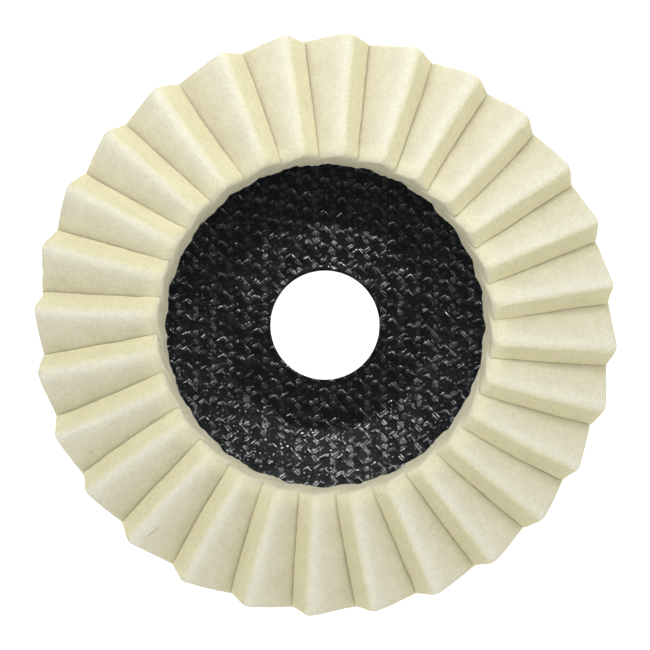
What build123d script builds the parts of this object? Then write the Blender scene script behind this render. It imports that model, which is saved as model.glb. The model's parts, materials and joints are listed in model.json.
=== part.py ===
from build123d import *
import os
from math import cos, hypot, radians, sin, tan

# Felt flap polishing disc for an angle grinder, 115 mm across, 22.23 mm bore.
# Millimetres. +Z is the bore axis and points out of the felt working face.
# The origin is the centre of the bore on the rear face of the arbor ring's flange.

# ---- driving dimensions -------------------------------------------------
disc_radius = 57.5            # ridge corners of the felt, 115 mm disc
bore_radius = 11.115          # 22.23 mm arbor hole
flap_count = 28

# arbor ring: a thin pressed steel eyelet, flange at the rear, sleeve in the plies
ring_flange_radius = 18.0
ring_flange_thickness = 0.5
ring_sleeve_wall = 0.5
ring_edge_radius = 0.15       # rolled outer edge of the flange
ring_sleeve_radius = bore_radius + ring_sleeve_wall

# backing plate: five layers pressed into one depressed-centre dish
rear_cloth_thickness = 0.35
glass_ply_thickness = 0.65
glass_ply_count = 3
front_cloth_thickness = 0.45
hub_flat_radius = 21.4        # where the flat hub turns up into the dish wall
crest_radius = 33.2           # where the dish wall turns over into the felt land
dish_rise = 5.6               # height of the crest above the hub, same layer
land_slope = 9.0              # degrees, the land falls away towards the rim
plate_radius = 52.0
dish_bend_radius = 3.0        # soft press bends between hub, wall and land

# bond between the land and the feet of the flaps
bond_thickness = 0.5
bond_inner_radius = 35.2
bond_outer_radius = 51.6
foot_clearance = 0.12         # the flat feet stay clear of the curved bond

# felt flaps: slanted slabs, each lying on the next one clockwise
flap_height = 11.75           # ridge above the bond, square to the land
ridge_inner_radius = 33.9
ridge_offset = 1.2            # the ridge line passes the axis at this distance
slant_inner = 41.3            # degrees between slab and land, inner end
slant_outer = 34.4            # and at the rim, where the flaps fan out
felt_inner = 4.8              # felt is squeezed thinner at the inner end
felt_outer = 6.7
felt_corner_radius = 0.8      # soft corners of the felt's free end
first_flap_angle = 3.3        # clockwise from +Y to the first flap's centre line
closing_flap = 26             # the ring closes between this flap and the next
closing_gap = 2.1             # degrees more between those two than between others
closing_swell = 1.16          # the flap at the wider gap is squeezed less

# ---- derived sizes ------------------------------------------------------
pitch = (360 - closing_gap) / flap_count
slope = radians(land_slope)
rear_cloth_z = ring_flange_thickness
ply_stack_z = rear_cloth_z + rear_cloth_thickness
front_cloth_z = ply_stack_z + glass_ply_count * glass_ply_thickness
hub_front_z = front_cloth_z + front_cloth_thickness


def land_z(radius, hub_z):
    """Height of the sloping land of a layer whose hub face lies at hub_z."""
    return hub_z + dish_rise - (radius - crest_radius) * tan(slope)


def dish_line(hub_z, start_radius, end_radius):
    """Rounded section line of one pressed surface, from the bore to the rim."""
    corners = [
        (start_radius, hub_z),
        (hub_flat_radius, hub_z),
        (crest_radius, hub_z + dish_rise),
        (end_radius, land_z(end_radius, hub_z)),
    ]
    return FilletPolyline(*[Vector(r, 0, z) for r, z in corners], radius=dish_bend_radius)


def pressed_layer(hub_z, thickness, start_radius, end_radius):
    """One dished layer: the same pressed line twice, a layer's thickness apart."""
    lower = dish_line(hub_z, start_radius, end_radius)
    upper = dish_line(hub_z + thickness, start_radius, end_radius)
    bore_edge = Line(lower @ 0, upper @ 0)
    rim_edge = Line(lower @ 1, upper @ 1)
    section = make_face(lower.edges() + upper.edges() + [bore_edge, rim_edge])
    return revolve(section, Axis.Z, 360)


def arbor_ring():
    """Flat rear flange and thin sleeve, one pressed steel eyelet."""
    sleeve_height = front_cloth_z
    flange = Cylinder(ring_flange_radius, ring_flange_thickness,
                      align=(Align.CENTER, Align.CENTER, Align.MIN))
    sleeve = Cylinder(ring_sleeve_radius, sleeve_height,
                      align=(Align.CENTER, Align.CENTER, Align.MIN))
    hole = Cylinder(bore_radius, 3 * sleeve_height)
    ring = flange + sleeve - hole
    flange_edges = ring.edges().filter_by(GeomType.CIRCLE).group_by(SortBy.RADIUS)[-1]
    return fillet(flange_edges, ring_edge_radius)


def rear_cloth():
    """Thin woven cloth over the rear of the plies."""
    return pressed_layer(rear_cloth_z, rear_cloth_thickness, ring_sleeve_radius, plate_radius)


def glass_ply(index):
    """One of the woven glass plies, counted from the rear."""
    z = ply_stack_z + index * glass_ply_thickness
    return pressed_layer(z, glass_ply_thickness, ring_sleeve_radius, plate_radius)


def front_cloth():
    """Black woven facing; its hole covers the end of the arbor ring's sleeve."""
    return pressed_layer(front_cloth_z, front_cloth_thickness, bore_radius, plate_radius)


def adhesive_ring():
    """Cured bead that holds the felt feet on the land."""
    def land_point(radius, lift):
        return Vector(radius, 0, land_z(radius, hub_front_z) + lift)

    lift = bond_thickness / cos(slope)
    corners = [
        land_point(bond_inner_radius, 0),
        land_point(bond_outer_radius, 0),
        land_point(bond_outer_radius, lift),
        land_point(bond_inner_radius, lift),
    ]
    section = make_face(Polyline(*corners, close=True))
    return revolve(section, Axis.Z, 360)


def foot_z(x, y):
    """Height of the feet of the flaps above the rear of the disc."""
    lift = (bond_thickness + foot_clearance) / cos(slope)
    return land_z(hypot(x, y), hub_front_z) + lift


def flap_section(ridge_radius, slant_degrees, felt):
    """Four corners of a flap's end: ridge, cut edge, front foot, rear foot.

    X runs clockwise round the disc, Y outwards, and the whole end face leans
    out with the land, so a step up the flap is also a small step outwards.
    """
    slant = radians(slant_degrees)
    foot_y = ridge_radius - flap_height * sin(slope)
    ridge_z = foot_z(0, foot_y) + flap_height * cos(slope)

    def corner(across, down):
        y = ridge_radius - down * sin(slope)
        return Vector(ridge_offset + across, y, ridge_z - down * cos(slope))

    def foot(across):
        point = corner(across, flap_height)
        sink = (point.Z - foot_z(point.X, point.Y)) * cos(slope)
        return corner(across, flap_height + sink)

    cut_across = felt * sin(slant)
    cut_down = felt * cos(slant)
    front_foot = cut_across - (flap_height - cut_down) / tan(slant)
    rear_foot = -flap_height / tan(slant)
    return [corner(0, 0), corner(cut_across, cut_down), foot(front_foot), foot(rear_foot)]


def meets(edge, points):
    """Whether an edge starts or ends at one of the points."""
    ends = (edge @ 0, edge @ 1)
    return any((end - point).length < 0.001 for end in ends for point in points)


def felt_flap(swell=1.0):
    """One slanted slab of felt, ruled between its ends, its free end softened."""
    inner = flap_section(ridge_inner_radius, slant_inner, felt_inner * swell)
    outer = flap_section(disc_radius, slant_outer, felt_outer * swell)
    ends = [make_face(Polyline(*corners, close=True)) for corners in (inner, outer)]
    slab = loft(ends, ruled=True)
    ridge = slab.edges().sort_by(Axis.Z)[-1]
    ridge_ends = (ridge @ 0, ridge @ 1)
    free_edges = [edge for edge in slab.edges() if meets(edge, ridge_ends)]
    return fillet(free_edges, felt_corner_radius)


def build_parts():
    """All separate pieces of the disc, by name."""
    pieces = {
        "arbor_ring": arbor_ring(),
        "rear_cloth": rear_cloth(),
        "front_cloth": front_cloth(),
        "adhesive_ring": adhesive_ring(),
    }
    for index in range(glass_ply_count):
        pieces[f"glass_ply_{index + 1}"] = glass_ply(index)
    usual_flap = felt_flap()
    swollen_flap = felt_flap(closing_swell)
    for number in range(1, flap_count + 1):
        flap = swollen_flap if number == closing_flap else usual_flap
        turn = first_flap_angle + (number - 1) * pitch
        if number > closing_flap:
            turn += closing_gap
        pieces[f"felt_flap_{number:02d}"] = Rot(0, 0, -turn) * flap
    return pieces


os.makedirs("parts", exist_ok=True)
for name, piece in build_parts().items():
    piece.label = name
    export_step(piece, f"parts/{name}.step")
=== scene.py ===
import json
import math
import random

import bpy
import numpy as np
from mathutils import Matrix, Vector, noise


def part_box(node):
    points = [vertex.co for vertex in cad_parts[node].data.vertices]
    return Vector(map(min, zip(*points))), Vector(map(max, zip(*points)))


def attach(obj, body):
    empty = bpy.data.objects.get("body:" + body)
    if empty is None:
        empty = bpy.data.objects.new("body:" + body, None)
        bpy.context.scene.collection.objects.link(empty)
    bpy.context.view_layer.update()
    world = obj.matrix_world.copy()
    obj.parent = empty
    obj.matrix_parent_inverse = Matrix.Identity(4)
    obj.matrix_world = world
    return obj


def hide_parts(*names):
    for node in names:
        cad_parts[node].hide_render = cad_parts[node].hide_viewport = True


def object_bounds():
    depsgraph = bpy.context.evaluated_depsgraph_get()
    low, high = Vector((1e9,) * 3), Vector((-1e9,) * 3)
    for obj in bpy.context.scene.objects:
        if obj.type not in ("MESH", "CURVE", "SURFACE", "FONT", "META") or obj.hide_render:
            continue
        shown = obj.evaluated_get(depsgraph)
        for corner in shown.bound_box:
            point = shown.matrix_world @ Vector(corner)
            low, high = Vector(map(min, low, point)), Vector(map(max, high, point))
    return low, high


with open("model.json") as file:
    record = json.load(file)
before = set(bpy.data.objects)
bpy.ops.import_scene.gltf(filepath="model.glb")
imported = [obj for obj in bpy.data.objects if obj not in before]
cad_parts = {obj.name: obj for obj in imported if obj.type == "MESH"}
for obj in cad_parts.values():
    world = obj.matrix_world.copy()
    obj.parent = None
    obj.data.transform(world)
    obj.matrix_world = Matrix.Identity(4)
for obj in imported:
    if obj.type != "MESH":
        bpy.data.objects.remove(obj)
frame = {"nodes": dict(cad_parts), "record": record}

CAD_LOW, CAD_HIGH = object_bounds()
MM = 0.001


def in_mm(metres):
    """A size that the frame gives in metres, in millimetres to the micron."""
    return round(metres / MM, 3)


# ---- the disc's sizes, in millimetres: first those that the frame gives -------------
MOUNTS = {mount["name"]: mount for mount in frame["record"]["mounts"]}
FRONT_LOW, FRONT_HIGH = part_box("front_cloth")
BORE_R = MOUNTS["arbor_bore"]["dims"]["r_mm"]
PLATE_R = in_mm(FRONT_HIGH.x)
REAR_CLOTH_Z = in_mm(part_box("rear_cloth")[0].z)
PLIES_Z = in_mm(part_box("glass_ply_1")[0].z)
FRONT_CLOTH_Z = in_mm(FRONT_LOW.z)
HUB_FRONT_Z = in_mm(MOUNTS["lock_nut_seat"]["pos_m"][2])
FLANGE_R = in_mm(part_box("arbor_ring")[1].x)
FLAP_COUNT = sum(node.startswith("felt_flap_") for node in frame["nodes"])

# the pressed dish: flat hub, cone up to the crest, land sloping down to the rim
RING_WALL = 0.5
SLEEVE_R = BORE_R + RING_WALL
HUB_FLAT_R = 21.4
CREST_R = 33.2
DISH_RISE = 5.6
DISH_BEND_R = 3.0
LAND_SLOPE = math.radians(9.0)
BOND = 0.5                             # thickness of the adhesive on the land
FOOT_CLEARANCE = 0.12                  # the flat feet stay clear of the curved bond

# the flaps: ridge line, slants in degrees and felt thickness, inside and at the rim
FLAP_HEIGHT = 11.75
DISC_R = 57.5
RIDGE_INNER_R = 33.9
RIDGE_OFFSET = 1.2
SLANT_INNER, SLANT_OUTER = 41.3, 34.4
FELT_INNER, FELT_OUTER = 4.8, 6.7
FELT_FILL = 0.12                       # the shown felt is thicker by this, to meet the next flap

# the ring of flaps, in degrees: the last place closed is wider and its flap thicker
FIRST_ANGLE = 3.3
CLOSING_FLAP = 26
CLOSING_GAP = 2.1
CLOSING_SWELL = 1.16
PITCH = (360 - CLOSING_GAP) / FLAP_COUNT


# ---- meshes ---------------------------------------------------------------------
def new_piece(name, points, faces, material):
    """A mesh object in metres from points in millimetres, riding on the disc."""
    mesh = bpy.data.meshes.new(name)
    mesh.from_pydata((np.asarray(points) * MM).tolist(), [], faces)
    mesh.materials.append(material)
    mesh.polygons.foreach_set("use_smooth", [True] * len(mesh.polygons))
    mesh.update()
    piece = bpy.data.objects.new(name, mesh)
    bpy.context.scene.collection.objects.link(piece)
    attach(piece, "root")
    return piece


def paint(piece, **looks):
    """Gives each point the values that the materials read as attributes."""
    for look, values in looks.items():
        layer = piece.data.attributes.new(look, "FLOAT", "POINT")
        layer.data.foreach_set("value", np.asarray(values).astype(np.float32))


def land_z(radius):
    return HUB_FRONT_Z + DISH_RISE - (radius - CREST_R) * math.tan(LAND_SLOPE)


def foot_z(x, y):
    return land_z(math.hypot(x, y)) + (BOND + FOOT_CLEARANCE) / math.cos(LAND_SLOPE)


def flap_section(ridge_radius, slant_degrees, felt):
    """A flap's end corners: ridge, cut edge, front foot, rear foot. X is clockwise, Y outwards."""
    slant = math.radians(slant_degrees)
    lean, rise = math.sin(LAND_SLOPE), math.cos(LAND_SLOPE)
    ridge_z = foot_z(0, ridge_radius - FLAP_HEIGHT * lean) + FLAP_HEIGHT * rise

    def corner(across, down):
        return np.array([RIDGE_OFFSET + across, ridge_radius - down * lean, ridge_z - down * rise])

    def foot(across):
        point = corner(across, FLAP_HEIGHT)
        sink = (point[2] - foot_z(point[0], point[1])) * rise
        return corner(across, FLAP_HEIGHT + sink)

    across, down = felt * math.sin(slant), felt * math.cos(slant)
    front = across - (FLAP_HEIGHT - down) / math.tan(slant)
    return [corner(0, 0), corner(across, down), foot(front), foot(-FLAP_HEIGHT / math.tan(slant))]


def graded(length, low, high, step, turns=6):
    """Places along one side of a slab, close together over its rounded ends."""
    middle = max(2, round((length - low - high) / step))
    return np.concatenate([
        np.linspace(0, low, turns, endpoint=False),
        np.linspace(low, length - high, middle, endpoint=False),
        np.linspace(length - high, length, turns + 1),
    ])


def box_surface(xs, ys, zs):
    """Grid points and quads over the surface of a box, shared along its edges."""
    n = (len(xs), len(ys), len(zs))
    index, points, faces = {}, [], []

    def at(i, j, k):
        key = (i, j, k)
        if key not in index:
            index[key] = len(points)
            points.append((xs[i], ys[j], zs[k]))
        return index[key]

    for axis in range(3):
        u, v = [a for a in range(3) if a != axis]
        for end in (0, n[axis] - 1):
            for a in range(n[u] - 1):
                for b in range(n[v] - 1):
                    quad = []
                    for da, db in ((0, 0), (1, 0), (1, 1), (0, 1)):
                        key = [0, 0, 0]
                        key[axis], key[u], key[v] = end, a + da, b + db
                        quad.append(at(*key))
                    if (end == 0) != (axis == 1):
                        quad.reverse()
                    faces.append(quad)
    return np.array(points), faces


# ---- felt flaps -------------------------------------------------------------------
# one slab with rounded edges serves all flaps: each is bent from it between its own corners
SLAB = np.array([18.0, 5.8, 24.0])        # along the slant, through the felt, along the ridge
ROUND_LOW = np.array([1.6, 1.2, 2.4])     # ridge end, upper face, inner end
ROUND_HIGH = np.array([0.3, 0.25, 0.9])   # foot end, lower face, rim end
ROUND_INNER_BELOW = 0.5                   # the inner end's rounding, at the lower face
MESH_STEP = 0.55
slab_points, slab_faces = box_surface(*(
    graded(length, low, high, MESH_STEP) for length, low, high in zip(SLAB, ROUND_LOW, ROUND_HIGH)
))
round_low = np.tile(ROUND_LOW, (len(slab_points), 1))
round_low[:, 2] = ROUND_LOW[2] + (ROUND_INNER_BELOW - ROUND_LOW[2]) * slab_points[:, 1] / SLAB[1]
core = np.clip(slab_points, round_low, SLAB - ROUND_HIGH)
reach = slab_points - core
facing = reach / np.where(reach < 0, round_low, ROUND_HIGH)
facing_length = np.maximum(np.linalg.norm(facing, axis=1, keepdims=True), 1e-9)
slab_points = core + reach / facing_length
facing = facing / facing_length
slab_cut = facing[:, 0] ** 2 + np.clip(facing[:, 2], 0, 1) ** 2
slab_share = slab_points / SLAB

# how the hand-set flaps wander from even spacing: (size, times round, phase in degrees)
TURN_WANDER = ((0.78, 1, 10), (0.38, 2, 114))                    # in degrees round the disc
SKEW_WANDER = ((0.80, 1, 93), (0.60, 2, -155), (0.42, 3, 51))    # up the slant, inner end
SKEW_STRENGTH = 0.60
INNER_WANDER = ((0.16, 1, 143), (0.18, 2, 32))                   # outwards, inner end

# and how they differ by chance: lowest and highest
INNER_SLIP, OUTER_SLIP = (-0.1, 0.1), (-0.35, 0.25)    # up the slant, inner end and rim
RIM_SHIFT = (-0.25, 0.15)                              # outwards at the rim
BOW = (-0.35, 0.35)                                    # the ridge's middle, up the slant
DROOP, DROOP_WIDTH = (0.65, 1.05), (4.8, 6.2)          # the upper face towards the ridge
RIDGE_HIGHLIGHT_STRENGTH = (0.7, 1.0)                                      # how strongly the painted ridge highlight shows

# what all of them have
TURN_ALL = 0.26                         # degrees that the whole ring is turned on
INNER_REACH = 0.43                      # the inner ends stand further in than the CAD's
INNER_SAG = 0.55                        # the ridge's inner end lies lower on the slant
REAR_FOOT_TUCK = 0.5                    # the hidden rear foot reaches further in still
RIM_OUT = 0.50
RIM_FLARE = (0.3, -0.3, -0.3, -0.9)     # outwards at the rim: ridge, cut edge, front foot, rear foot
LUMPS = ((0.16, 7.0, 0), (0.09, 2.2, 40), (0.06, 0.9, 80))    # height, size across, seed
FRAYS = ((0.25, 2.6, 120), (0.36, 1.1, 160))                  # the same, at the foot's inner edge
RIDGE_HIGHLIGHT_WIDTH, INNER_END_HIGHLIGHT_WIDTH, CREASE_SHADE_WIDTH = 1.7, 2.2, 2.4      # painted highlight beside the ridge and at the inner end, painted shade with dust beside the crease


def wander(parts, angle):
    return sum(size * math.cos(times * angle - math.radians(phase)) for size, times, phase in parts)


def near(distance, width):
    """1 at no distance, falling smoothly to 0 at the width."""
    return np.clip(1 - distance / width, 0, 1) ** 2


def fading(distance, width):
    """1 up to no distance, then a bell's fall with that width."""
    return np.exp(-(np.maximum(distance, 0) / width) ** 2)


def waves(points, scale, seed):
    """Smooth noise between -1 and 1 at each point, with lumps about scale millimetres across."""
    offset = Vector((seed * 7.31, seed * 3.17, seed * 5.53))
    return np.array([noise.noise(Vector(p) / scale + offset) for p in points.tolist()])


def rough(table, points, number):
    """A sum of noises for one flap, from a table of height, size across and seed."""
    return sum(height * waves(points, scale, number + seed) for height, scale, seed in table)


def felt_flap(number, material):
    """One flap: the slab bent between its sections, roughened, turned to its place and painted."""
    rng = random.Random(number * 101)
    swell = CLOSING_SWELL if number == CLOSING_FLAP else 1.0
    opening = CLOSING_GAP if number > CLOSING_FLAP else 0
    station = math.radians(FIRST_ANGLE + (number - 1) * PITCH + opening)
    inner = flap_section(RIDGE_INNER_R, SLANT_INNER, (FELT_INNER + FELT_FILL) * swell)
    outer = flap_section(DISC_R, SLANT_OUTER, (FELT_OUTER + FELT_FILL) * swell)

    # no two flaps lie quite alike: their ends slip up or down the slant, in and out
    inner_slip = SKEW_STRENGTH * wander(SKEW_WANDER, station) + rng.uniform(*INNER_SLIP)
    outer_slip = rng.uniform(*OUTER_SLIP)
    rim_shift = RIM_OUT + rng.uniform(*RIM_SHIFT)
    bow = rng.uniform(*BOW)
    for section, slip, sag in ((inner, inner_slip, INNER_SAG), (outer, outer_slip, 0.0)):
        up_slope = (section[0] - section[3]) / np.linalg.norm(section[0] - section[3])
        section[0] = section[0] + up_slope * (slip - sag)
        section[1] = section[1] + up_slope * slip
    for i, rim_flare in enumerate(RIM_FLARE):
        inner[i] = inner[i] + np.array([0, wander(INNER_WANDER, station) - INNER_REACH, 0])
        outer[i] = outer[i] + np.array([0, rim_shift + rim_flare, 0])
    inner[3] = inner[3] - np.array([0, REAR_FOOT_TUCK, 0])
    a, c, v = slab_share[:, 0:1], slab_share[:, 1:2], slab_share[:, 2:3]

    def end(corners):
        ridge, cut, front, rear = corners
        return (1 - a) * ((1 - c) * ridge + c * cut) + a * ((1 - c) * rear + c * front)

    points = (1 - v) * end(inner) + v * end(outer)

    # the pressed felt is a little crowned: its upper face droops towards the free edges
    from_ridge, from_inner = slab_points[:, 0], slab_points[:, 2]
    from_rim = SLAB[2] - from_inner
    droop = rng.uniform(*DROOP) * near(from_ridge, rng.uniform(*DROOP_WIDTH))
    droop += 0.15 * near(from_rim, 2.5)
    sag = 0.5 * near(from_inner, 4.0)
    slant = math.radians((SLANT_INNER + SLANT_OUTER) / 2)
    along = np.array([math.cos(slant), 0, math.sin(slant)])
    upper = np.array([-math.sin(slant), 0, math.cos(slant)])
    down_share, through_share, out_share = slab_share.T
    points -= (droop * (1 - through_share) * (1 - down_share))[:, None] * upper
    points[:, 2] -= sag * (1 - down_share ** 2)
    points -= (bow * 4 * out_share * (1 - out_share) * (1 - down_share))[:, None] * along

    # soft lumps, less where the slab is hidden between its neighbours, and a ragged foot inside
    hidden = np.clip((down_share - 0.25 - 0.2 * out_share) / 0.2, 0, 1)
    out = facing[:, 0:1] * -along - facing[:, 1:2] * upper + facing[:, 2:3] * np.array([0, 1.0, 0])
    lump = rough(LUMPS, points, number) * (1 - 0.8 * hidden)
    ragged = rough(FRAYS, points, number) * (np.clip(-facing[:, 2], 0, 1) * down_share ** 2)
    points += (lump + ragged)[:, None] * out

    # clockwise to its station, as seen from the front
    turn = -station - math.radians(TURN_ALL + wander(TURN_WANDER, station))
    spin = np.array([
        [math.cos(turn), -math.sin(turn), 0],
        [math.sin(turn), math.cos(turn), 0],
        [0, 0, 1],
    ])
    flap = new_piece(f"felt_{number:02d}", points @ spin.T, slab_faces, material)

    # where light and shade are painted: a painted highlight along the ridge and on the rolled inner end,
    # and painted shade with some dust beside the crease
    upper_half = through_share < 0.5
    # painted highlight: the ridge and the face beside it are painted paler and whiter, where the light
    # catches them
    brushed = fading(from_ridge - 0.6, RIDGE_HIGHLIGHT_WIDTH) * np.clip(1.4 * facing[:, 1] ** 2 + 0.1, 0, 1)
    brushed = brushed * upper_half * rng.uniform(*RIDGE_HIGHLIGHT_STRENGTH)
    # painted highlight: the rolled inner edge is painted paler, and the inner end face below it takes the
    # same paler tone
    rolled = fading(from_inner - 1.0, INNER_END_HIGHLIGHT_WIDTH) * np.clip(1.1 - facing[:, 2] ** 2, 0, 1)
    rolled *= 1 - 0.8 * np.clip(slab_cut, 0, 1)
    rolled = np.maximum(rolled, np.clip(-1.4 * facing[:, 2] - 0.4, 0, 1))
    # painted shade with some dust: the face is darkened beside the crease, where the next flap's cut edge
    # rests on it
    slope_length = 17.8 + 3.0 * out_share
    crease_from_ridge = 5.7 + 4.9 * out_share
    to_crease = np.abs(crease_from_ridge - down_share * slope_length)
    dusty = fading(to_crease, CREASE_SHADE_WIDTH) * upper_half * np.clip(from_inner / 3 - 0.4, 0, 1)
    paint(flap, cut_felt=np.clip(slab_cut, 0, 1), brushed=np.clip(brushed, 0, 1),
          rolled=np.clip(rolled, 0, 1), dusty=np.clip(dusty, 0, 1))
    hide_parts(f"felt_flap_{number:02d}")


# ---- pressed dish layers ----------------------------------------------------------
def bend(radius, hub_z):
    """Height of a pressed layer at a radius: flat hub, cone, land, with rounded press bends."""
    wall = DISH_RISE / (CREST_R - HUB_FLAT_R)
    land = -math.tan(LAND_SLOPE)
    height = hub_z + np.clip(radius - HUB_FLAT_R, 0, CREST_R - HUB_FLAT_R) * wall
    height = height + np.maximum(radius - CREST_R, 0) * land
    for corner, before, after in ((HUB_FLAT_R, 0.0, wall), (CREST_R, wall, land)):
        half = DISH_BEND_R * math.tan(abs(math.atan(after) - math.atan(before)) / 2)
        inside = np.clip(half - np.abs(radius - corner), 0, None)
        height = height + (after - before) * inside ** 2 / (4 * half)
    return height


def closed_ring(top_radii, top_height, under_radii, under_height, spokes):
    """Points and quads of a closed ring with its own radii above and below."""
    angle = np.arange(spokes) * 2 * math.pi / spokes
    layers = []
    for radii, height in ((top_radii, top_height), (under_radii, under_height)):
        r, t = np.meshgrid(radii, angle, indexing="ij")
        layers.append(np.stack([r * np.cos(t), r * np.sin(t), height], -1).reshape(-1, 3))
    j = np.arange(spokes)
    k = (j + 1) % spokes
    below = len(top_radii) * spokes

    def sheet(rings, first):
        i = np.arange(rings - 1)[:, None] * spokes + first
        return np.stack([i + j, i + spokes + j, i + spokes + k, i + k], -1).reshape(-1, 4)

    last = (len(top_radii) - 1) * spokes
    last_below = below + (len(under_radii) - 1) * spokes
    faces = np.concatenate([
        sheet(len(top_radii), 0),
        sheet(len(under_radii), below)[:, ::-1],
        np.stack([j, k, k + below, j + below], -1),
        np.stack([last + k, last + j, last_below + j, last_below + k], -1),
    ])
    return np.concatenate(layers), faces.tolist()


def plain_side(start_radius):
    """Ring radii for a facing's hidden side: close together only over the press bends."""
    return np.concatenate([
        np.linspace(start_radius, 20.0, 4),
        np.linspace(20.6, 22.2, 6),
        np.linspace(31.8, 34.6, 8),
        [40, 46, PLATE_R],
    ])


def hidden_side(radii, hub_z, spokes):
    """Heights over a round grid for a facing's hidden side."""
    return np.repeat(bend(radii, hub_z)[:, None], spokes, axis=1)


# ---- front facing: black resin over a leno-woven glass mesh ------------------------
WARP = np.array([3.47, -0.61])     # from one warp pair to the next
WEFT = np.array([0.0, 3.27])       # from one weft bundle to the next
SEEN_R = 34.2                      # the weave is only seen inside the felt
CROWN_REACH = 1.2                  # no crown spreads further than this from its middle
CROWN_HEIGHT = 0.13
CROWN_SCATTER, CROWN_TWIST, CROWN_TILT = 0.11, 7, 0.08    # place, degrees, slope: usual deviation
CROWN_SIZE, CROWN_SHINE = (0.75, 1.25), (0.45, 1.0)       # lowest and highest share
DULL_SHARE = 0.22                                         # of the crowns have no gloss
CROWNS = (
    # share of a cell, place from there, half length, half width, height, direction in degrees, gloss
    (0.00, 0.00, -0.50, -0.05, 0.74, 0.40, 0.13, 30, 1.00),
    (0.00, 0.00, 0.42, -0.25, 0.74, 0.40, 0.13, -50, 1.00),
    (0.50, 0.12, 0.0, 0.0, 0.80, 0.58, 0.05, 38, 0.55),
    (0.45, 0.58, 0.0, 0.0, 0.85, 0.60, 0.05, -45, 0.55),
    (0.30, 0.85, 0.0, 0.0, 0.34, 0.26, 0.08, -40, 0.40),
    (0.78, 0.30, 0.0, 0.0, 0.34, 0.26, 0.08, 50, 0.40),
)


def yarn_crowns(radii, spokes):
    """Relief height, gloss and lie (0 or 1) over a round grid from the yarn crowns of the weave."""
    rng = np.random.RandomState(5)
    height = np.zeros((len(radii), spokes))
    gloss, lies = np.zeros_like(height), np.zeros_like(height)
    cells = int(SEEN_R / 3.0) + 4
    for u in range(-cells, cells + 1):
        for w in range(-cells, cells + 1):
            for share_u, share_w, aside, ahead, length, half, tall, direction, shine in CROWNS:
                centre = (u + share_u) * WARP + (w + share_w) * WEFT + (aside, ahead)
                centre += rng.normal(0, CROWN_SCATTER, 2)
                turn = math.radians(direction + rng.normal(0, CROWN_TWIST))
                size = rng.uniform(*CROWN_SIZE, 3)
                shine = shine * rng.uniform(*CROWN_SHINE) * (rng.uniform() > DULL_SHARE)
                tilt = rng.normal(0, CROWN_TILT, 2)
                radius = np.hypot(*centre)
                if radius > SEEN_R or radius < BORE_R - 1:
                    continue
                i0, i1 = np.searchsorted(radii, (radius - CROWN_REACH, radius + CROWN_REACH))
                span = int(CROWN_REACH / radius / (2 * math.pi) * spokes) + 1
                middle = round(math.atan2(centre[1], centre[0]) / (2 * math.pi) * spokes)
                j = np.arange(middle - span, middle + span + 1)
                r, t = np.meshgrid(radii[i0:i1], j * 2 * math.pi / spokes, indexing="ij")
                dx, dy = r * np.cos(t) - centre[0], r * np.sin(t) - centre[1]
                along = (dx * math.cos(turn) + dy * math.sin(turn)) / (length * size[0])
                across = (dy * math.cos(turn) - dx * math.sin(turn)) / (half * size[1])
                edge = np.clip(1 - along ** 2 - across ** 2, 0, 1)
                crown = edge * np.clip(tall * size[2] + tilt[0] * dx + tilt[1] * dy, 0.02, 0.3)
                patch = (slice(i0, i1), j % spokes)
                higher = crown > height[patch]
                gloss[patch] = np.where(higher, shine * np.clip(edge * 3, 0, 1), gloss[patch])
                lies[patch] = np.where(higher, direction > 0, lies[patch])
                height[patch] = np.maximum(height[patch], crown)
    return height, gloss, lies


def front_cloth(material):
    """The front facing: relief where it is seen, plain under the felt, a low collar at the bore."""
    spokes, ring_step = 1500, 0.13
    rib_height, collar_height, mean_relief, sunk = 0.02, 0.22, 0.12, 0.06
    above = np.concatenate([np.arange(BORE_R, 33.9, ring_step), np.linspace(34.0, PLATE_R, 20)])
    below = plain_side(BORE_R)
    crowns, gloss, lies = yarn_crowns(above, spokes)
    r, t = np.meshgrid(above, np.arange(spokes) * 2 * math.pi / spokes, indexing="ij")
    y = r * np.sin(t) - WARP[1] / WARP[0] * r * np.cos(t)
    ribs = rib_height * np.cos(2 * math.pi * y / WEFT[1])
    fade = np.clip((34.5 - r) / 1.0, 0, 1) * np.clip((r - BORE_R) / 0.30, 0, 1)
    collar = collar_height * np.exp(-((r - BORE_R - 0.35) / 0.7) ** 2)
    height = bend(r, HUB_FRONT_Z) + (crowns + ribs - mean_relief) * fade + collar * fade - sunk
    height_below = hidden_side(below, FRONT_CLOTH_Z, spokes)
    points, faces = closed_ring(above, height, below, height_below, spokes)
    cloth = new_piece("front_facing", points, faces, material)
    unpainted = np.zeros(height_below.size)
    paint(cloth, gloss=np.append(gloss, unpainted), lie=np.append(lies, unpainted),
          raised=np.append(crowns / CROWN_HEIGHT, unpainted))
    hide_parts("front_cloth")


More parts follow.
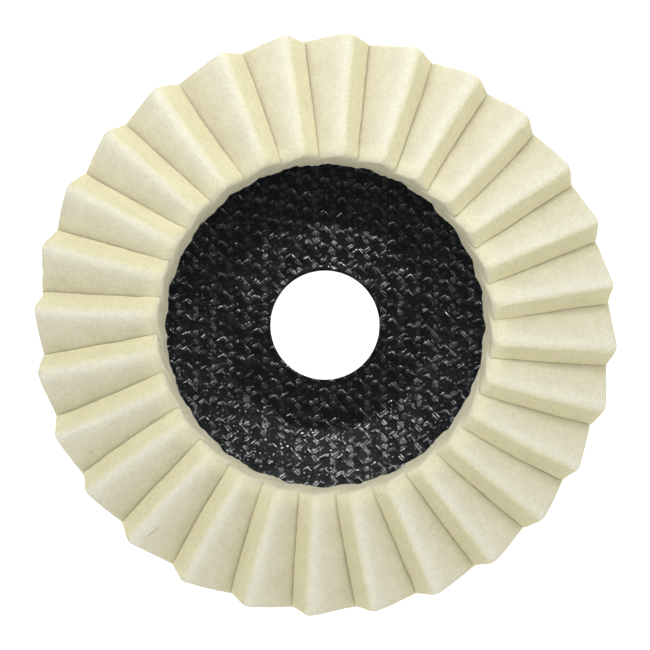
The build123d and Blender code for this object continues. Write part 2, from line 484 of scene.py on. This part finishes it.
def rear_cloth(material):
    """The rear facing: a fine plain weave outside the arbor ring's flange."""
    spokes = 900
    pitch, weave_depth = 1.6, 0.16
    above = plain_side(SLEEVE_R)
    below = np.linspace(SLEEVE_R, PLATE_R, 170)
    r, t = np.meshgrid(below, np.arange(spokes) * 2 * math.pi / spokes, indexing="ij")
    x, y = r * np.cos(t), r * np.sin(t)
    over = np.sin(math.pi * x / pitch) * np.sin(math.pi * y / pitch)
    warp = np.abs(np.cos(math.pi * x / pitch)) ** 0.5 * (0.5 + 0.5 * over)
    weft = np.abs(np.cos(math.pi * y / pitch)) ** 0.5 * (0.5 - 0.5 * over)
    fade = np.clip((r - FLANGE_R - 0.3) / 0.6, 0, 1) * np.clip((PLATE_R - r) / 0.3, 0, 1)
    weave = np.maximum(warp, weft) * fade
    height = bend(r, REAR_CLOTH_Z) + weave_depth * (fade - weave)
    height_above = hidden_side(above, PLIES_Z, spokes)
    points, faces = closed_ring(above, height_above, below, height, spokes)
    cloth = new_piece("rear_facing", points, faces, material)
    paint(cloth, raised=np.append(np.zeros(height_above.size), weave))
    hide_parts("rear_cloth")


# ---- materials --------------------------------------------------------------------
class Nodes:
    """A short way to build a material's node tree."""

    def __init__(self, name):
        self.material = bpy.data.materials.new(name)
        self.material.use_nodes = True
        self.tree = self.material.node_tree
        self.shader = self.tree.nodes["Principled BSDF"]
        self.place = self.add("ShaderNodeTexCoord").outputs["Object"]

    def add(self, kind, **settings):
        node = self.tree.nodes.new(kind)
        for key, value in settings.items():
            setattr(node, key, value)
        return node

    def link(self, source, socket):
        self.tree.links.new(source, socket)

    def feed(self, socket, value):
        """Sets a number or a colour on a socket, or links another node's output to it."""
        if isinstance(value, (int, float)):
            socket.default_value = value
        elif isinstance(value, tuple):
            socket.default_value = (*value, 1)
        else:
            self.link(value, socket)

    def noise(self, scale, detail=3.0, roughness=0.55, distortion=0.0, place=None):
        node = self.add("ShaderNodeTexNoise")
        node.inputs["Scale"].default_value = scale
        node.inputs["Detail"].default_value = detail
        node.inputs["Roughness"].default_value = roughness
        node.inputs["Distortion"].default_value = distortion
        self.link(place or self.place, node.inputs["Vector"])
        return node.outputs["Fac"]

    def attribute(self, name):
        return self.add("ShaderNodeAttribute", attribute_name=name).outputs["Fac"]

    def ramp(self, factor, stops):
        node = self.add("ShaderNodeValToRGB")
        while len(node.color_ramp.elements) < len(stops):
            node.color_ramp.elements.new(0.5)
        for element, (position, colour) in zip(node.color_ramp.elements, stops):
            element.position = position
            element.color = (*colour, 1)
        self.link(factor, node.inputs["Fac"])
        return node.outputs["Color"]

    def spread(self, factor, low, high, to_low, to_high):
        node = self.add("ShaderNodeMapRange")
        ends = {"From Min": low, "From Max": high, "To Min": to_low, "To Max": to_high}
        for socket, value in ends.items():
            node.inputs[socket].default_value = value
        self.link(factor, node.inputs["Value"])
        return node.outputs["Result"]

    def mix(self, factor, first, second, blend="MIX"):
        node = self.add("ShaderNodeMix", data_type="RGBA", blend_type=blend)
        self.feed(node.inputs["Factor"], factor)
        self.feed(node.inputs["A"], first)
        self.feed(node.inputs["B"], second)
        return node.outputs["Result"]

    def math(self, operation, first, second):
        node = self.add("ShaderNodeMath", operation=operation)
        self.feed(node.inputs[0], first)
        self.feed(node.inputs[1], second)
        return node.outputs["Value"]

    def scaled(self, source, amount):
        return self.math("MULTIPLY", source, amount)

    def bump(self, height, strength, distance):
        node = self.add("ShaderNodeBump")
        node.inputs["Strength"].default_value = strength
        node.inputs["Distance"].default_value = distance
        self.link(height, node.inputs["Height"])
        return node.outputs["Normal"]

    def set(self, **values):
        """Sets what is the same all over the surface on the shader itself."""
        for key, value in values.items():
            self.shader.inputs[key.replace("_", " ")].default_value = value

    def surface(self, colour=None, roughness=None, normal=None):
        """Links what varies over the surface to the shader."""
        for name, source in (("Base Color", colour), ("Roughness", roughness), ("Normal", normal)):
            if source:
                self.link(source, self.shader.inputs[name])
        return self.material


# ---- felt
FELT_FACE = ((0.30, (0.745, 0.707, 0.525)), (0.55, (0.785, 0.747, 0.570)), (0.75, (0.810, 0.777, 0.610)))
FELT_CUT = ((0.30, (0.785, 0.734, 0.465)), (0.60, (0.820, 0.769, 0.500)), (0.80, (0.840, 0.789, 0.540)))
FELT_MOTTLE = ((0.33, (0.82, 0.81, 0.76)), (0.60, (1.0, 1.0, 1.0)))
# painted light on the felt: highlight colours for the ridge and the inner end, and the colour multiplied
# in as shade and dust beside the creases
RIDGE_HIGHLIGHT_COLOUR = (0.895, 0.870, 0.725)
INNER_END_HIGHLIGHT_COLOUR = (0.890, 0.840, 0.595)
CREASE_SHADE_AND_DUST = (0.91, 0.88, 0.77)
MARK = (0.36, 0.30, 0.19)
FELT_MARKS = (
    # x, y, direction in degrees, half length, half width: a speck, a slit near a rim, a nick
    (-46.4, -25.3, 30, 0.32, 0.22),
    (-34.1, -41.2, 37, 3.1, 0.16),
    (-22.0, 36.6, -20, 0.35, 0.14),
)


def felt_mark(n, x, y, direction, half_length, half_width):
    """How strongly a point of the felt is marked: an oval, seen from the front."""
    place = n.add("ShaderNodeMapping", vector_type="TEXTURE")
    place.inputs["Location"].default_value = (x * MM, y * MM, 0)
    place.inputs["Rotation"].default_value = (0, 0, math.radians(direction))
    place.inputs["Scale"].default_value = (half_length * MM, half_width * MM, 1000)
    n.link(n.place, place.inputs["Vector"])
    distance = n.add("ShaderNodeVectorMath", operation="LENGTH")
    n.link(place.outputs["Vector"], distance.inputs[0])
    return n.spread(distance.outputs["Value"], 0.3, 1.1, 0.55, 0.0)


def felt_material():
    n = Nodes("pressed_wool_felt")
    cloudy = n.noise(260, 4, 0.6)
    mottle = n.noise(1500, 3, 0.65, 0.6)
    fibre = n.noise(5200, 2, 0.7, 1.5)
    colour = n.mix(n.attribute("cut_felt"), n.ramp(cloudy, FELT_FACE), n.ramp(cloudy, FELT_CUT))
    # painted highlights along the ridge and the inner end, then painted shade with some dust beside the
    # creases
    colour = n.mix(n.scaled(n.attribute("brushed"), 0.85), colour, RIDGE_HIGHLIGHT_COLOUR)
    colour = n.mix(n.scaled(n.attribute("rolled"), 0.85), colour, INNER_END_HIGHLIGHT_COLOUR)
    colour = n.mix(n.scaled(n.attribute("dusty"), 0.7), colour, CREASE_SHADE_AND_DUST, "MULTIPLY")
    colour = n.mix(0.5, colour, n.ramp(mottle, FELT_MOTTLE), "MULTIPLY")
    marks = 0.0
    for mark in FELT_MARKS:
        marks = n.math("MAXIMUM", felt_mark(n, *mark), marks)
    height = n.math("ADD", n.scaled(mottle, 0.6), n.scaled(fibre, 0.4))
    n.set(Sheen_Weight=0.15, Sheen_Roughness=0.6, Specular_IOR_Level=0.1)
    return n.surface(
        colour=n.mix(marks, colour, MARK),
        roughness=n.spread(fibre, 0.3, 0.7, 0.88, 1.0),
        normal=n.bump(height, 0.6, 0.6 * MM),
    )


# ---- front facing: the strokes of single strands on the crowns, one direction for each lie
STRAND_DIRECTIONS = (-48, 34)
STRANDS = {"Scale": 640, "Distortion": 1.6, "Detail": 2.0, "Detail Scale": 1.5}


def strand_bands(n, direction):
    """Fine bands that run in a direction, given in degrees."""
    turned = n.add("ShaderNodeMapping", vector_type="TEXTURE")
    turned.inputs["Rotation"].default_value = (0, 0, math.radians(direction + 90))
    n.link(n.place, turned.inputs["Vector"])
    strands = n.add("ShaderNodeTexWave", wave_type="BANDS", bands_direction="X")
    for socket, value in STRANDS.items():
        strands.inputs[socket].default_value = value
    n.link(turned.outputs["Vector"], strands.inputs["Vector"])
    return strands.outputs["Fac"]


def front_material():
    n = Nodes("black_resin_front")
    patch = n.noise(450, 3, 0.6)
    grain = n.noise(3800, 3, 0.65, 1.0)
    gloss, lie = n.attribute("gloss"), n.attribute("lie")
    broken = n.scaled(n.noise(2300, 3, 0.6), 0.8)
    backward, forward = [
        n.math("ADD", broken, n.scaled(strand_bands(n, direction), 0.5)) for direction in STRAND_DIRECTIONS
    ]
    fibre = n.math("ADD", n.math("MULTIPLY", forward, lie),
                   n.math("MULTIPLY", backward, n.math("SUBTRACT", 1.0, lie)))
    raised = n.math("ADD", n.attribute("raised"), n.spread(patch, 0.3, 0.7, -0.35, 0.35))
    stroke = n.math("MULTIPLY", gloss, n.spread(fibre, 0.73, 0.78, 0.0, 1.0))
    speck = n.spread(n.noise(2300, 0), 0.72, 0.79, 0.0, 0.5)
    bright = n.math("MAXIMUM", stroke, speck)
    n.link(n.spread(bright, 0.0, 0.9, 0.008, 0.74), n.shader.inputs["Specular IOR Level"])
    height = n.math("ADD", n.scaled(grain, 0.60), n.math("MULTIPLY", fibre, n.scaled(gloss, 1.30)))
    hollow, crown = (0.0066, 0.0074, 0.0082), (0.016, 0.017, 0.0185)
    return n.surface(
        colour=n.ramp(raised, ((0.0, hollow), (0.6, crown))),
        roughness=n.spread(grain, 0.3, 0.7, 0.15, 0.27),
        normal=n.bump(height, 0.55, 0.18 * MM),
    )


def rear_material():
    n = Nodes("black_resin_rear")
    patch = n.noise(300, 3, 0.6)
    grain = n.noise(3500, 3, 0.6, 1.0)
    raised = n.math("ADD", n.scaled(n.attribute("raised"), 0.7), n.scaled(patch, 0.5))
    hollow, yarn = (0.006, 0.006, 0.007), (0.034, 0.034, 0.036)
    return n.surface(
        colour=n.ramp(raised, ((0.35, hollow), (0.95, yarn))),
        roughness=n.spread(raised, 0.4, 1.0, 0.70, 0.38),
        normal=n.bump(grain, 0.35, 0.12 * MM),
    )


def laminate_material():
    """Brown resin and glass, streaked along its plies."""
    n = Nodes("phenolic_laminate")
    place = n.add("ShaderNodeMapping")
    place.inputs["Scale"].default_value = (1, 1, 9)
    n.link(n.place, place.inputs["Vector"])
    layers = n.noise(420, 4, 0.65, place=place.outputs["Vector"])
    resin, mixed, glass = (0.022, 0.019, 0.014), (0.085, 0.070, 0.045), (0.20, 0.17, 0.11)
    return n.surface(
        colour=n.ramp(layers, ((0.35, resin), (0.62, mixed), (0.75, glass))),
        roughness=n.spread(layers, 0.3, 0.7, 0.45, 0.75),
        normal=n.bump(layers, 0.4, 0.2 * MM),
    )


def adhesive_material():
    n = Nodes("cured_epoxy")
    cloud = n.noise(500, 3)
    brown, amber = (0.20, 0.12, 0.045), (0.36, 0.25, 0.11)
    return n.surface(
        colour=n.ramp(cloud, ((0.3, brown), (0.7, amber))),
        roughness=n.spread(cloud, 0.3, 0.7, 0.18, 0.4),
        normal=n.bump(cloud, 0.3, 0.3 * MM),
    )


def steel_material():
    n = Nodes("zinc_plated_steel")
    spangle = n.noise(900, 4, 0.6)
    scratch = n.noise(6000, 2, 0.5, 2.0)
    n.set(Metallic=1.0)
    dull, bright = (0.50, 0.51, 0.53), (0.66, 0.67, 0.69)
    return n.surface(
        colour=n.ramp(spangle, ((0.3, dull), (0.7, bright))),
        roughness=n.spread(scratch, 0.3, 0.7, 0.28, 0.48),
        normal=n.bump(scratch, 0.12, 0.05 * MM),
    )


def floor_material():
    """A floor that glows a little, so that it looks white round the disc as the photo's ground does."""
    n = Nodes("pale_floor")
    n.set(Roughness=0.9, Emission_Color=(1, 1, 1, 1), Emission_Strength=0.9)
    dim, pale = (0.44, 0.44, 0.44), (0.46, 0.46, 0.46)
    return n.surface(colour=n.ramp(n.noise(6, 2), ((0.3, dim), (0.7, pale))))


# ---- build the disc ---------------------------------------------------------------
felt = felt_material()
for flap_number in range(1, FLAP_COUNT + 1):
    felt_flap(flap_number, felt)
front_cloth(front_material())
rear_cloth(rear_material())

# the CAD's own meshes serve for the rest, with materials of their own
node_looks = {"adhesive_ring": adhesive_material(), "arbor_ring": steel_material()}
laminate = laminate_material()
for ply in ("glass_ply_1", "glass_ply_2", "glass_ply_3"):
    node_looks[ply] = laminate
for node, look in node_looks.items():
    body = frame["nodes"][node]
    if not body.data.materials:
        body.data.materials.append(look)
    for material_slot in body.material_slots:
        material_slot.material = look

# ---- floor, light and camera ------------------------------------------------------
FLOOR_HALF = 3
FLOOR_GAP = 0.2 * MM
floor_mesh = bpy.data.meshes.new("floor")
floor_corners = [(x * FLOOR_HALF, y * FLOOR_HALF, 0) for x, y in ((-1, -1), (1, -1), (1, 1), (-1, 1))]
floor_mesh.from_pydata(floor_corners, [], [(0, 1, 2, 3)])
floor_mesh.materials.append(floor_material())
floor = bpy.data.objects.new("floor", floor_mesh)
floor.location.z = CAD_LOW.z - FLOOR_GAP
bpy.context.scene.collection.objects.link(floor)


def soft_light(name, location, target, width, height, watts, on_felt=True, in_gloss=True):
    """An area lamp aimed at a point, seen by rough surfaces, by gloss, or by both."""
    light = bpy.data.lights.new(name, "AREA")
    light.shape = "RECTANGLE"
    light.size, light.size_y, light.energy = width, height, watts
    lamp = bpy.data.objects.new(name, light)
    bpy.context.scene.collection.objects.link(lamp)
    lamp.location = location
    lamp.rotation_euler = (Vector(target) - Vector(location)).to_track_quat("-Z", "Y").to_euler()
    lamp.visible_diffuse, lamp.visible_glossy = on_felt, in_gloss


CENTRE, DISH = (0, 0, 0), (0, 0, 0.01)
# the felt's light, mostly from above the picture
soft_light("near_top_left", (-0.045, 0.09, 0.095), DISH, 0.030, 0.022, 0.019, in_gloss=False)
soft_light("near_top_right", (0.045, 0.09, 0.095), DISH, 0.030, 0.022, 0.013, in_gloss=False)
soft_light("high_top", (0, 0.35, 0.35), CENTRE, 0.12, 0.12, 0.20, in_gloss=False)
soft_light("overhead", (0, 0, 0.50), CENTRE, 0.50, 0.50, 1.16, in_gloss=False)
# small lamps that only the black resin's gloss shows
soft_light("glint_top", (0, 0.095, 0.095), DISH, 0.090, 0.040, 0.95, on_felt=False)
soft_light("glint_high", (0, 0.12, 0.25), DISH, 0.045, 0.045, 0.56, on_felt=False)
soft_light("glint_left", (-0.11, 0.035, 0.10), DISH, 0.035, 0.035, 0.24, on_felt=False)
soft_light("glint_right", (0.11, 0.035, 0.10), DISH, 0.035, 0.035, 0.17, on_felt=False)

# an even sky, a little dimmer at the horizon and below it
world = bpy.data.worlds.new("studio")
bpy.context.scene.world = world
world.use_nodes = True
sky = world.node_tree.nodes
background = sky["Background"]
direction = sky.new("ShaderNodeTexCoord")
split = sky.new("ShaderNodeSeparateXYZ")
dome = sky.new("ShaderNodeValToRGB")
world.node_tree.links.new(direction.outputs["Generated"], split.inputs["Vector"])
world.node_tree.links.new(split.outputs["Z"], dome.inputs["Fac"])
world.node_tree.links.new(dome.outputs["Color"], background.inputs["Color"])
for stop, (height, level) in zip(dome.color_ramp.elements, ((0.0, 0.90), (0.50, 1.00))):
    stop.position = height
    stop.color = (level, level, level, 1)
background.inputs["Strength"].default_value = 0.55
bpy.context.scene.view_settings.view_transform = "Standard"

camera = bpy.data.objects.new("camera", bpy.data.cameras.new("camera"))
bpy.context.scene.collection.objects.link(camera)
bpy.context.scene.camera = camera
camera.data.sensor_width = 36
camera.data.lens = 112.2
# a little off the axis, to the lower right, and turned back to the disc's middle by two small angles
camera_x, camera_y, camera_z = 0.0031, -0.0030, 0.4165
aim_x, aim_y = 0.00015, -0.00013
distance = camera_z - CAD_HIGH.z
camera.location = (camera_x, camera_y, camera_z)
camera.rotation_euler = ((aim_y - camera_y) / distance, (camera_x - aim_x) / distance, 0)
camera.data.clip_start, camera.data.clip_end = 0.01, 20
